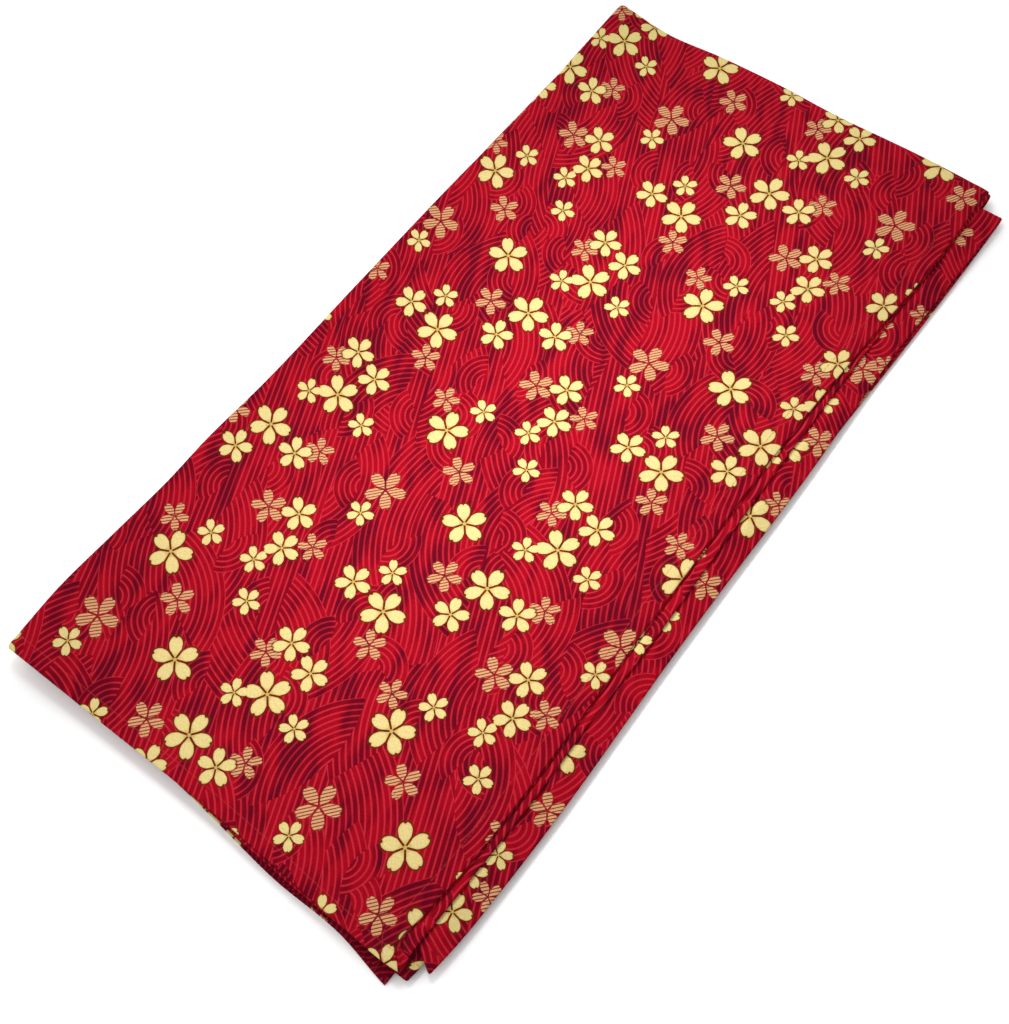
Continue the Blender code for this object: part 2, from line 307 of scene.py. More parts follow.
def folded_points():
    """The middle surface of the folded cloth on the grid of width by length stations, and for
    each point where it lies on the print, which is drawn as on the top layer and goes on round
    the left fold by the length of the cloth there. The strip and the second layer have charts of
    their own, drawn in their places on the panel and kept far to the left. The change from one to
    the other lies on hidden cloth."""
    run, reach, bulge, height = (part[:, None] for part in width_stations())
    place, angle = (part[None, :] for part in length_stations())
    run = run + 0 * place
    wide = np.broadcast_to(place, run.shape)

    inset = blend_rows(run, LEFT_INSET, lambda value: value + 0 * wide)
    left = through(wide, LEFT_PLACES, LEFT_LINE) + inset
    right = blend_rows(run, RIGHT_LINE, lambda row: through(wide, RIGHT_PLACES, row))
    x = left + (right - left) * reach + bulge

    across = x / PANEL_WIDTH
    near_above = blend_rows(run, NEAR_HEM_ABOVE, lambda row: through(across, ACROSS, row))
    near_below = blend_rows(run, NEAR_HEM_BELOW, lambda row: through(across, ACROSS, row))
    outer = through(across, FAR_ACROSS, FAR_FOLD_OUTER)
    inner = through(across, FAR_ACROSS, FAR_FOLD_INNER)
    lowest = LAYER_HEIGHT["strip"] * PITCH
    highest = LAYER_HEIGHT["second"] * PITCH
    far = inner + (outer - inner) * ease_between(height, lowest, highest)
    near = np.where(wide <= 1, near_above, near_below)
    along = np.where(wide <= 1, wide, 2 - wide)
    y = near + (far - near) * along + height * np.sin(angle)
    z = MIDDLE_HEIGHT + height * np.cos(angle)

    step = np.hypot(np.diff(x, axis=0), np.diff(height, axis=0))
    print_x = x[:1] - np.concatenate([0 * x[:1], np.cumsum(step, axis=0)])
    flat_y = near + (far - near) * along
    print_y = np.where(angle > 0, far + (far - flat_y) + height * angle, flat_y)
    aside, up = drift(print_x, print_y)
    fold_line = np.flatnonzero((run[:, 0] == 2) & (reach[:, 0] == 1))[0]
    past_fold = print_x - print_x[fold_line]
    on_top = (run < 1) | ((run == 1) & (reach < 0.5))
    on_second = run > 2.5
    chart = np.where(on_second, CHART_OFFSET["second"], CHART_OFFSET["strip"])
    charted_x = np.where(run < 2, x[fold_line] + past_fold, x) + chart
    print_x = np.where(on_top, print_x - aside, charted_x)
    print_y = np.where(on_top, print_y - up, print_y)
    sunk = sink_beside_hems(run, wide, x)
    points = np.stack([x, y, settle(x, y, z, right - x, sunk)], axis=-1)
    return points, np.stack([print_x, print_y], axis=-1)


def cloth_places(points):
    """Where each point lies on the flat cloth: the length run across and along it from its first
    edges, in shares of the whole, times the flat size. Also the distance to the nearest edge."""
    across = np.cumsum(np.linalg.norm(np.diff(points, axis=0, prepend=points[:1]), axis=-1), axis=0)
    along = np.cumsum(np.linalg.norm(np.diff(points, axis=1, prepend=points[:, :1]), axis=-1), axis=1)
    u = FLAT_SIZE[0] * across / across[-1:]
    v = FLAT_SIZE[1] * along / along[:, -1:]
    from_side = np.minimum(u, FLAT_SIZE[0] - u)
    from_end = np.minimum(v, FLAT_SIZE[1] - v)
    return u, v, from_side, from_end


# The sheet. Plain-weave cotton, about half a millimetre thick as it lies. Every edge is folded
# under twice and sewn down by machine 8.3 mm in, so the hem is thicker, its outer edge is round,
# and the seam pulls it into a shallow groove with small puckers.
FLAT_SIZE = (0.973, 1.015)
SHEET = 0.00055
HEM = 0.0083
HEM_EXTRA = 0.00055
EDGE_ROUND = 0.0008
EDGE_LEAST = 0.06
SEAM_DEPTH = 0.00010
SEAM_HALF_WIDTH = 0.0007
SEAM_INSIDE_HEM = 0.0006
PUCKER = 0.00010
PUCKER_HALF_WIDTH = 0.0030
PUCKER_INSIDE_HEM = 0.0020
PUCKER_LENGTHS = (0.0078, 0.0123)


def sheet_offsets(u, v, from_side, from_end):
    """How far the outer and the inner face lie from the middle surface. The hem adds its extra
    layers mostly inside. The edge is rounded by a quarter ellipse over its last 0.8 mm, but for a
    blunt end. The seam is a bell-shaped groove, and the puckers are two sine waves along it."""
    edge = np.minimum(from_side, from_end)
    in_hem = 1 - ease_between(edge, HEM - 0.0002, HEM + 0.0007)
    rounding = np.sqrt(1 - (1 - np.clip(edge / EDGE_ROUND, EDGE_LEAST, 1)) ** 2)
    seam = SEAM_DEPTH * bell(edge, HEM - SEAM_INSIDE_HEM, SEAM_HALF_WIDTH)
    beside = 2 * np.pi * np.where(from_side < from_end, v, u)
    ripple = np.sin(beside / PUCKER_LENGTHS[0]) + 0.6 * np.sin(beside / PUCKER_LENGTHS[1] + 1.0)
    pucker = PUCKER * bell(edge, HEM - PUCKER_INSIDE_HEM, PUCKER_HALF_WIDTH) * ripple
    outer = (SHEET / 2 + 0.3 * HEM_EXTRA * in_hem) * rounding - seam + pucker
    inner = (SHEET / 2 + 0.7 * HEM_EXTRA * in_hem) * rounding - pucker * 0.5
    return outer, inner


def cloth_mesh(name):
    """A closed mesh: the outer face, the inner face, and a band of faces round the four edges.
    Both faces are the middle surface moved along its own normal, and nothing goes under the floor.
    The inner face is the cloth's back, but for the hems, where the printed side is folded over."""
    points, on_print = folded_points()
    u, v, from_side, from_end = cloth_places(points)
    outer, inner = sheet_offsets(u, v, from_side, from_end)
    normal = np.cross(np.gradient(points, axis=1), np.gradient(points, axis=0))
    normal = normal / np.linalg.norm(normal, axis=-1, keepdims=True)
    moved = points - np.array([*MIDDLE, 0])
    faces_out = moved + normal * outer[..., None]
    faces_in = moved - normal * inner[..., None]
    verts = np.concatenate([faces_out.reshape(-1, 3), faces_in.reshape(-1, 3)])
    verts[:, 2] = np.maximum(verts[:, 2], 0)

    rows, columns = u.shape
    low = rows * columns
    number = np.arange(low).reshape(rows, columns)
    square = [number[:-1, :-1], number[:-1, 1:], number[1:, 1:], number[1:, :-1]]
    out = np.stack(square, axis=-1).reshape(-1, 4)
    ring = np.concatenate([number[:-1, 0], number[-1, :-1], number[:0:-1, -1], number[0, :0:-1]])
    after = np.roll(ring, -1)
    band = np.stack([ring, after, after + low, ring + low], axis=-1)
    faces = np.concatenate([out, out[:, ::-1] + low, band])

    mesh = bpy.data.meshes.new(name)
    mesh.vertices.add(len(verts))
    mesh.vertices.foreach_set("co", verts.ravel())
    mesh.loops.add(faces.size)
    mesh.loops.foreach_set("vertex_index", faces.ravel().astype(np.int32))
    mesh.polygons.add(len(faces))
    mesh.polygons.foreach_set("loop_start", np.arange(0, faces.size, 4, dtype=np.int32))
    edge = np.minimum(from_side, from_end).ravel()
    back = (edge[out].mean(axis=1) > HEM).astype(np.int32)
    material = np.concatenate([0 * back, back, np.zeros(len(band), np.int32)])
    mesh.polygons.foreach_set("material_index", material)
    mesh.update(calc_edges=True)
    corner = faces.ravel() % low
    for layer, place in (("print", on_print), ("cloth", np.stack([u, v], axis=-1))):
        at_corners = place.reshape(-1, 2)[corner].ravel().astype(np.float32)
        mesh.uv_layers.new(name=layer).data.foreach_set("uv", at_corners)
    mesh.shade_smooth()
    return mesh


# The print's flowers. A repeat of five-petalled blossoms: gold ones in three sizes, and tan ones
# with fine hatching, in loose clusters. Places are millimetres from the middle of one large
# flower, and the repeat steps on by the two vectors of the half-drop.

# These places, turns and steps, and the drift's numbers, were not charted by hand alone: they were
# read off and then refined by a script that fitted them to the photo's flowers
ANCHOR = (0.0987, 0.3302)
REPEAT = ((0.1400, 0.0001), (0.0779, -0.1373))
FLOWERS = (
    # kind, x, y, radius, first petal's turn from +X in degrees
    ("gold", 0.0, 0.0, 11.0, 62),
    ("gold", -7.9, 25.2, 9.0, 17),
    ("gold", 8.9, 19.5, 9.0, 5),
    ("gold", -12.6, -8.8, 7.0, 43),
    ("gold", 20.6, -4.6, 7.0, 66),
    ("tan", -14.4, 14.6, 7.6, 22),
    ("gold", -44.7, -14.7, 11.0, 59),
    ("gold", -14.8, -35.6, 11.0, 18),
    ("gold", 5.0, -38.7, 9.0, 48),
    ("gold", -20.4, -56.3, 9.0, 32),
    ("tan", 14.0, -29.4, 7.6, 48),
    ("tan", -35.0, -42.2, 8.6, 17),
    ("tan", 53.1, -23.9, 10.6, 21),
    ("gold", 51.5, -41.1, 7.0, 19),
    ("gold", 15.7, 63.3, 11.0, 16),
    ("gold", -5.5, 66.5, 9.0, 7),
    ("gold", 6.4, 81.3, 7.0, 52),
    ("tan", 21.4, 46.5, 8.0, 52),
    ("gold", -49.3, 76.3, 9.0, 65),
    ("gold", -43.7, 57.7, 9.0, 7),
    ("gold", -50.2, 44.6, 7.0, 66),
    ("tan", -63.3, 69.2, 9.0, 63),
    ("tan", -32.5, 67.5, 7.4, 64),
    ("gold", 56.3, 21.0, 11.0, 33),
    ("gold", 64.4, 40.9, 7.0, 67),
    ("tan", 44.9, 34.6, 7.4, 29),
    ("tan", 75.6, 6.5, 8.4, 66),
    ("gold", -38.5, 27.2, 7.0, 11),
)

# The flowers on the strip, and those that show on the second layer's hem beside it: where they lie
# on the folded panel, in millimetres. They were read off and carried onto the panel by a script.
# The cloth that is folded under goes on past 500, and its flowers are guessed.
STRIP_FLOWERS = (
    # layer, kind, x, y, radius, first petal's turn
    ("strip", "gold", 241.5, 25.5, 8.8, 28),
    ("strip", "tan", 249.7, 40.4, 7.0, 4),
    ("strip", "gold", 237.3, 44.4, 7.5, 36),
    ("strip", "gold", 242.3, 57.7, 6.6, 36),
    ("strip", "tan", 247.6, 87.4, 8.6, 52),
    ("strip", "gold", 236.7, 113.9, 10.9, 36),
    ("strip", "gold", 235.3, 196.8, 8.6, 36),
    ("strip", "tan", 242.8, 222.7, 8.5, 62),
    ("strip", "gold", 240.0, 266.5, 11.4, 5),
    ("strip", "tan", 247.4, 280.9, 7.0, 63),
    ("strip", "gold", 234.5, 311.9, 9.5, 36),
    ("strip", "tan", 244.5, 322.9, 8.5, 6),
    ("strip", "gold", 234.6, 344.4, 7.4, 36),
    ("strip", "tan", 239.8, 372.7, 10.0, 57),
    ("strip", "tan", 248.7, 382.4, 6.5, 30),
    ("strip", "tan", 232.3, 400.7, 8.3, 36),
    ("strip", "tan", 247.8, 420.1, 6.8, 60),
    ("strip", "tan", 235.2, 476.7, 9.6, 36),
    ("strip", "gold", 243.0, 575.0, 9.0, 20),
    ("strip", "tan", 247.0, 640.0, 8.0, 44),
    ("strip", "gold", 239.0, 692.0, 11.0, 7),
    ("strip", "tan", 246.0, 748.0, 8.4, 30),
    ("strip", "gold", 243.0, 802.0, 9.0, 61),
    ("strip", "tan", 248.0, 861.0, 8.0, 12),
    ("strip", "gold", 241.0, 905.0, 11.0, 50),
    ("strip", "tan", 246.0, 948.0, 8.4, 24),
    ("strip", "gold", 240.0, 998.0, 8.6, 20),
    ("second", "gold", 232.9, 178.6, 7.6, 36),
    ("second", "tan", 231.0, 234.6, 4.2, 0),
    ("second", "gold", 229.0, 300.1, 7.0, 0),
    ("second", "gold", 229.2, 367.1, 6.0, 0),
)

# How far a flower reaches at most, against the least distance between two sides of a cell
FLOWER_REACH = 0.0125
CELL_LEAST = 0.120

# A flower of radius 1: a petal's middle and half length along its axis, how square its outline is,
# its notch, the widths at its base and its widest place, and how the gap to the next petal rises
PETAL_MIDDLE = 0.565
PETAL_HALF_LENGTH = 0.435
PETAL_POWER = 2.3
NOTCH_DEPTH = 0.070
NOTCH_HALF_WIDTH = 0.10
PETAL_BASE = 0.66
PETAL_BASE_AT = 0.10
PETAL_WIDEST_AT = 0.68
GAP_LEVEL = 1.38
GAP_SLOPE = 8.0
GOLD_HALF_WIDTH = 0.296
TAN_HALF_WIDTH = 0.275
FIFTH = np.pi / 5


def add(tree, kind, *feeds, **settings):
    """A node whose inputs are filled in order: a socket is linked, a number or tuple is set. None
    leaves an input as it is. Returns the node's outputs that are in use."""
    node = tree.nodes.new(kind)
    for name, value in settings.items():
        setattr(node, name, value)
    sockets = [s for s in node.inputs if s.enabled]
    for socket, feed in zip(sockets, feeds):
        if isinstance(feed, bpy.types.NodeSocket):
            tree.links.new(feed, socket)
        elif feed is not None:
            socket.default_value = feed
    outs = [s for s in node.outputs if s.enabled]
    return outs[0] if len(outs) == 1 else outs


def sums(tree, operation, *feeds):
    """A math node on numbers."""
    return add(tree, "ShaderNodeMath", *feeds, operation=operation)


def vector(tree, operation, *feeds):
    """A math node on vectors."""
    return add(tree, "ShaderNodeVectorMath", *feeds, operation=operation)


def mix(tree, share, first, second, kind="FLOAT", blend="MIX"):
    """Blends two numbers, vectors or colours by a share. Colours can also be multiplied."""
    node = tree.nodes.new("ShaderNodeMix")
    node.data_type = kind
    node.blend_type = blend
    sockets = [s for s in node.inputs if s.enabled]
    for socket, feed in zip(sockets, (share, first, second)):
        if isinstance(feed, bpy.types.NodeSocket):
            tree.links.new(feed, socket)
        else:
            socket.default_value = feed
    return [s for s in node.outputs if s.enabled][0]


def soft_step(tree, value, low, high):
    """0 below low and 1 above high, or the other way round if low is the greater."""
    return add(tree, "ShaderNodeMapRange", value, low, high, 0.0, 1.0, interpolation_type="SMOOTHSTEP")


def new_group(name, inputs, outputs):
    """An empty node group with named sockets, and its input and output nodes."""
    group = bpy.data.node_groups.new(name, "ShaderNodeTree")
    for label, kind in inputs:
        group.interface.new_socket(label, in_out="INPUT", socket_type=kind)
    for label, kind in outputs:
        group.interface.new_socket(label, in_out="OUTPUT", socket_type=kind)
    return group, group.nodes.new("NodeGroupInput"), group.nodes.new("NodeGroupOutput")


def placed(tree, group, place):
    """A node group in a tree, read at a place. Returns its outputs."""
    node = tree.nodes.new("ShaderNodeGroup")
    node.node_tree = group
    tree.links.new(place, node.inputs["Place"])
    return node.outputs


def lattice_place(tree, place):
    """The place within one cell of the repeat, in metres from the cell's corner: the place is
    written as steps along the two vectors of the repeat, and only the fraction is kept."""
    (ax, ay), (bx, by) = REPEAT
    det = ax * by - bx * ay
    first = sums(tree, "FRACT", vector(tree, "DOT_PRODUCT", place, (by / det, -bx / det, 0)))
    second = sums(tree, "FRACT", vector(tree, "DOT_PRODUCT", place, (-ay / det, ax / det, 0)))
    steps = add(tree, "ShaderNodeCombineXYZ", first, second, 0.0)
    return add(tree, "ShaderNodeCombineXYZ", vector(tree, "DOT_PRODUCT", steps, (ax, bx, 0)),
               vector(tree, "DOT_PRODUCT", steps, (ay, by, 0)), 0.0)


def copies_in_cell(kind):
    """Every copy of the charted flowers of a kind that reaches into the cell at the origin."""
    steps = np.array(REPEAT)
    margin = FLOWER_REACH / CELL_LEAST
    found = []
    for name, x, y, radius, turned in FLOWERS:
        if name != kind:
            continue
        place = np.array([x, y]) / 1000
        for i in range(-2, 3):
            for j in range(-2, 3):
                at = place + i * steps[0] + j * steps[1]
                share = np.linalg.solve(steps.T, at)
                if (share > -margin).all() and (share < 1 + margin).all():
                    found.append((at[0], at[1], radius / 1000, turned))
    return found


def strip_copies(kind):
    """The strip's and the second layer's flowers of a kind, in metres from the print's origin."""
    return [(x / 1000 + CHART_OFFSET[layer], y / 1000, radius / 1000, turned)
            for layer, name, x, y, radius, turned in STRIP_FLOWERS if name == kind]


def nearest_flower(tree, cell, copies):
    """The place in the nearest flower, turned and scaled so that its radius is 1, and the distance
    from its middle. Each flower in turn takes the place over where it is nearer."""
    best_place = None
    for x, y, radius, turned in copies:
        mapped = add(tree, "ShaderNodeMapping", cell, (x, y, 0), (0, 0, np.radians(turned)),
                     (radius, radius, 1), vector_type="TEXTURE")
        distance = vector(tree, "LENGTH", mapped)
        if best_place is None:
            best_place, best = mapped, distance
            continue
        nearer = sums(tree, "LESS_THAN", distance, best)
        best_place = mix(tree, nearer, best_place, mapped, "VECTOR")
        best = sums(tree, "MINIMUM", distance, best)
    return best_place, best


def flower_of(tree, cell, charted, on_strip, kind):
    """The nearest flower of a kind, from the strip's chart on the strip and the repeat elsewhere."""
    place, distance = nearest_flower(tree, cell, copies_in_cell(kind))
    strip_place, strip_distance = nearest_flower(tree, charted, strip_copies(kind))
    place = mix(tree, on_strip, place, strip_place, "VECTOR")
    return place, mix(tree, on_strip, distance, strip_distance)


def petals(tree, place, distance, width):
    """Five petals: the angle is folded into one fifth of a turn, and a petal is an egg shape about
    its own axis, the sum of two powers, of the place along it over its half length and of the place
    aside over its half width, which grows outwards. It has a small notch at the tip and a narrow
    gap to its neighbours. Returns its level, which is 1 at its edge and less inside, and the place
    along its axis."""
    x, y, _ = add(tree, "ShaderNodeSeparateXYZ", place)
    angle = sums(tree, "ARCTAN2", y, x)
    folded = sums(tree, "WRAP", angle, FIFTH, -FIFTH)
    along = sums(tree, "MULTIPLY", distance, sums(tree, "COSINE", folded))
    aside = sums(tree, "ABSOLUTE", sums(tree, "MULTIPLY", distance, sums(tree, "SINE", folded)))
    notch = sums(tree, "MULTIPLY", soft_step(tree, aside, NOTCH_HALF_WIDTH, 0.0), NOTCH_DEPTH)
    from_middle = sums(tree, "SUBTRACT", sums(tree, "ADD", along, notch), PETAL_MIDDLE)
    long_share = sums(tree, "ABSOLUTE", sums(tree, "DIVIDE", from_middle, PETAL_HALF_LENGTH))
    taper = add(tree, "ShaderNodeMapRange", along, PETAL_BASE_AT, PETAL_WIDEST_AT,
                width * PETAL_BASE, width)
    wide_share = sums(tree, "DIVIDE", aside, taper)
    level = sums(tree, "ADD", sums(tree, "POWER", long_share, PETAL_POWER),
                 sums(tree, "POWER", wide_share, PETAL_POWER))
    to_neighbour = vector(tree, "DOT_PRODUCT", add(tree, "ShaderNodeCombineXYZ", along, aside, 0.0),
                          (np.sin(FIFTH), -np.cos(FIFTH), 0))
    gap = sums(tree, "SUBTRACT", GAP_LEVEL, sums(tree, "MULTIPLY", to_neighbour, GAP_SLOPE))
    return sums(tree, "MAXIMUM", level, gap), along


# The print's ground. Fine curved lines, light on crimson, like combed waves that mostly run along
# the panel. Over a field of long swaying lines lie sets of bundles. A bundle is a lens filled with
# arcs along its fuller side. Whole bundles, and streaks along the lines, are darker or brighter.
LINE_STEP = 0.0028
BUNDLE_SETS = (
    # width of a bundle's lens, radius of its fuller side, cell width, cell stretch, seed
    (0.034, 0.085, 0.052, 1.9, 7.1),
    (0.030, 0.060, 0.048, 1.8, 13.7),
    (0.026, 0.048, 0.050, 1.6, 22.9),
    (0.013, 0.017, 0.030, 1.4, 31.3),
)
FIELD_ACROSS = (0.91, 0.41, 0.0)
SWAY_PER_METRE = 11.0
SWAY = (0.075, 0.050, 0)
TONES_PER_METRE = 16.0
BUNDLE_TURN = 1.25
BUNDLE_TURN_ZERO = 0.82
HOLLOW_RADIUS = 1.25


def wave_ground(tree, place):
    """Each set has one bundle about each point of a jittered grid. In a bundle's own axes, turned
    and mirrored at random, the lens is the overlap of a disc whose edge is the fuller side and a
    disc on the other side. Returns the depth under the fuller side in metres, which is the place
    across the lines, and the random colour of the bundle."""
    sway = add(tree, "ShaderNodeTexNoise", place, None, SWAY_PER_METRE, 2.0, 0.42,
               noise_dimensions="2D")[1]
    sway = vector(tree, "MULTIPLY", vector(tree, "SUBTRACT", sway, (0.5, 0.5, 0.5)), SWAY)
    place = vector(tree, "ADD", place, sway)
    depth = vector(tree, "DOT_PRODUCT", place, FIELD_ACROSS)
    tone = add(tree, "ShaderNodeTexNoise", place, None, TONES_PER_METRE, 1.0, 0.5,
               noise_dimensions="2D")[1]
    for width, radius, cell, stretch, seed in BUNDLE_SETS:
        moved = vector(tree, "ADD", place, (seed, seed * 0.7, 0))
        squeezed = vector(tree, "MULTIPLY", moved, (1, 1 / stretch, 0))
        colour, middle = add(tree, "ShaderNodeTexVoronoi", squeezed, 1 / cell,
                             voronoi_dimensions="2D")[1:3]
        offset = vector(tree, "MULTIPLY", vector(tree, "SUBTRACT", squeezed, middle), (1, stretch, 0))
        share_r, share_g, _ = add(tree, "ShaderNodeSeparateXYZ", colour)
        turn = sums(tree, "MULTIPLY", sums(tree, "SUBTRACT", share_r, BUNDLE_TURN_ZERO), BUNDLE_TURN)
        offset = add(tree, "ShaderNodeVectorRotate", offset, (0, 0, 0), turn, rotation_type="Z_AXIS")
        side = sums(tree, "SIGN", sums(tree, "SUBTRACT", share_g, 0.5))
        x, y, _ = add(tree, "ShaderNodeSeparateXYZ", offset)
        offset = add(tree, "ShaderNodeCombineXYZ", sums(tree, "MULTIPLY", x, side), y, 0.0)
        full = vector(tree, "DISTANCE", offset, (radius - width / 2, 0, 0))
        hollow_radius = HOLLOW_RADIUS * radius
        hollow = vector(tree, "DISTANCE", offset, (width / 2 - hollow_radius, 0, 0))
        here = sums(tree, "SUBTRACT", radius, full)
        lens = sums(tree, "MINIMUM", here, sums(tree, "SUBTRACT", hollow_radius, hollow))
        inside = sums(tree, "GREATER_THAN", lens, 0.0)
        depth = mix(tree, inside, depth, here)
        tone = mix(tree, inside, tone, colour, "VECTOR")
    return depth, tone


# The print itself. The cotton is dyed crimson and printed with a brighter and a darker red, the fine
# lines, and the flowers on top: tan ones first, then gold ones with an olive outline. The darkest
# red is also painted over the lower half's near end as painted shade, where the pile shades it.
CRIMSON = (0.172, 0.0012, 0.0070, 1)
BRIGHT_RED = (0.330, 0.0025, 0.0095, 1)
MAROON = (0.080, 0.0012, 0.0080, 1)
LINE_RED = (0.410, 0.0150, 0.0290, 1)
GOLD_CREAM = (0.580, 0.465, 0.190, 1)
GOLD_OLIVE = (0.420, 0.310, 0.070, 1)
GOLD_EDGE = (0.520, 0.370, 0.130, 1)
GOLD_LEAF = (0.500, 0.460, 0.110, 1)
OLIVE_DARK = (0.080, 0.016, 0.003, 1)
TAN = (0.540, 0.270, 0.130, 1)
TAN_DARK = (0.130, 0.020, 0.012, 1)

# The soft edge of a line in shares of its step, the dark and the bright streaks' soft edges and
# shares, the streaks' and the hatching's steps per metre, where the painted shade on the lower
# half's near end begins, and on which side of the print the strip's charts lie
LINE_EDGES = (0.205, 0.085)
DARK_STREAKS = (0.50, 0.68)
DARK_SHARE = 0.85
BRIGHT_STREAKS = (0.52, 0.36)
BRIGHT_SHARE = 0.60
STREAK_ALONG = (41.0, 18.0, 0)
STREAK_ACROSS = (-5.7, 12.7, 0)
HATCH_ACROSS = (-510, 429, 0)
MOTTLES_PER_METRE = 520.0
PAINTED_SHADE_END = (0.968, 0.992)
CHARTS_LEFT_OF = -0.6

print_group, print_in, print_out = new_group(
    "blossom_and_wave_print", [("Place", "NodeSocketVector")],
    [("Color", "NodeSocketColor"), ("Ink", "NodeSocketFloat")])
charted = print_in.outputs["Place"]
charted_x, charted_y, _ = add(print_group, "ShaderNodeSeparateXYZ", charted)
place = vector(print_group, "SUBTRACT", charted, (*ANCHOR, 0))

# The lines, the ground's dark and bright streaks, and the painted shade at the lower half's near end
depth, tone = wave_ground(print_group, place)
wave = sums(print_group, "PINGPONG", sums(print_group, "DIVIDE", depth, LINE_STEP), 0.5)
line = soft_step(print_group, wave, *LINE_EDGES)
tone_r, tone_g, _ = add(print_group, "ShaderNodeSeparateXYZ", tone)
streak_place = add(print_group, "ShaderNodeCombineXYZ",
                   vector(print_group, "DOT_PRODUCT", place, STREAK_ALONG),
                   vector(print_group, "DOT_PRODUCT", place, STREAK_ACROSS),
                   sums(print_group, "MULTIPLY", tone_r, 0.6))
streak = add(print_group, "ShaderNodeTexNoise", streak_place, None, 1.0, 1.0, 0.5)[0]
whole = sums(print_group, "MULTIPLY_ADD", sums(print_group, "SUBTRACT", tone_g, 0.5), 0.12, streak)
# Painted shade: the darkest red is laid over the lower half's near end, where the pile shades it; it joins
# the dark streaks, which are print
painted_shade_end = soft_step(print_group, charted_y, *PAINTED_SHADE_END)
deep = sums(print_group, "MAXIMUM", soft_step(print_group, whole, *DARK_STREAKS), painted_shade_end)
bright = soft_step(print_group, whole, *BRIGHT_STREAKS)
bright_share = sums(print_group, "MULTIPLY", bright, BRIGHT_SHARE)
ground = mix(print_group, bright_share, CRIMSON, BRIGHT_RED, "RGBA")
deep_share = sums(print_group, "MULTIPLY", deep, DARK_SHARE)
ground = mix(print_group, deep_share, ground, MAROON, "RGBA")
line = sums(print_group, "MULTIPLY", line, sums(print_group, "MULTIPLY_ADD", deep, -0.42, 0.95))
ground = mix(print_group, line, ground, LINE_RED, "RGBA")

# The tan flowers: a soft dark edge, and petals with fine dark hatching
cell = lattice_place(print_group, place)
on_strip = sums(print_group, "LESS_THAN", charted_x, CHARTS_LEFT_OF)
tan_place, tan_distance = flower_of(print_group, cell, charted, on_strip, "tan")
tan_level, _ = petals(print_group, tan_place, tan_distance, TAN_HALF_WIDTH)
hatch_place = vector(print_group, "DOT_PRODUCT", cell, HATCH_ACROSS)
hatch = soft_step(print_group, sums(print_group, "PINGPONG", hatch_place, 0.5), 0.05, 0.28)
tan_colour = mix(print_group, hatch, TAN_DARK, TAN, "RGBA")
tan_edge = sums(print_group, "MULTIPLY", soft_step(print_group, tan_level, 1.7, 1.0), 0.45)
colour = mix(print_group, tan_edge, ground, TAN_DARK, "RGBA")
tan_ink = soft_step(print_group, tan_level, 1.08, 0.92)
colour = mix(print_group, tan_ink, colour, tan_colour, "RGBA")

# The gold flowers: olive towards the middle and the edges, mottled, with a dark outline and a dot
gold_place, gold_distance = flower_of(print_group, cell, charted, on_strip, "gold")
gold_level, gold_along = petals(print_group, gold_place, gold_distance, GOLD_HALF_WIDTH)
near_middle = soft_step(print_group, gold_along, 0.34, 0.14)
gold_colour = mix(print_group, near_middle, GOLD_CREAM, GOLD_OLIVE, "RGBA")
near_edge = soft_step(print_group, gold_level, 0.45, 1.0)
gold_colour = mix(print_group, near_edge, gold_colour, GOLD_EDGE, "RGBA")
mottle = add(print_group, "ShaderNodeTexNoise", place, None, MOTTLES_PER_METRE, 1.0, 0.5,
             noise_dimensions="2D")[0]
mottle = soft_step(print_group, mottle, 0.50, 0.72)
gold_colour = mix(print_group, mottle, gold_colour, GOLD_LEAF, "RGBA")
outline = sums(print_group, "MULTIPLY", soft_step(print_group, gold_level, 1.95, 1.15), 0.85)
colour = mix(print_group, outline, colour, OLIVE_DARK, "RGBA")
gold_ink = soft_step(print_group, gold_level, 1.06, 0.94)
colour = mix(print_group, gold_ink, colour, gold_colour, "RGBA")
dot = soft_step(print_group, gold_distance, 0.10, 0.06)
colour = mix(print_group, dot, colour, GOLD_OLIVE, "RGBA")
print_group.links.new(colour, print_out.inputs["Color"])
print_group.links.new(sums(print_group, "MAXIMUM", tan_ink, gold_ink), print_out.inputs["Ink"])


# The weave. Warp and weft threads about 0.4 mm apart, over and under each other, with the slight
# slubs of cotton yarn.
THREAD_STEP = 0.00042
SLUBS_PER_METRE = (900, 260, 0)

weave_group, weave_in, weave_out = new_group(
    "cotton_weave", [("Place", "NodeSocketVector")], [("Height", "NodeSocketFloat")])
threads = vector(weave_group, "MULTIPLY", weave_in.outputs["Place"], (1 / THREAD_STEP, 1 / THREAD_STEP, 0))
warp, weft, _ = add(weave_group, "ShaderNodeSeparateXYZ", threads)
warp_wave = sums(weave_group, "SINE", sums(weave_group, "MULTIPLY", warp, np.pi))
weft_wave = sums(weave_group, "SINE", sums(weave_group, "MULTIPLY", weft, np.pi))
crossing = sums(weave_group, "MULTIPLY", warp_wave, weft_wave)
slub_place = vector(weave_group, "MULTIPLY", weave_in.outputs["Place"], SLUBS_PER_METRE)
slub = add(weave_group, "ShaderNodeTexNoise", slub_place, None, 1.0, 2.0, 0.6, noise_dimensions="2D")[0]
weave_group.links.new(sums(weave_group, "MULTIPLY_ADD", crossing, 0.35, slub), weave_out.inputs["Height"])


# The seam. One row of machine stitches along each hem, 2.7 mm from one to the next, in a red thread
# a little lighter than the cloth.
STITCH_STEP = 0.0027
STITCH_FROM_EDGE = 0.0078
STITCH_HALF_WIDTH = (0.00042, 0.00022)

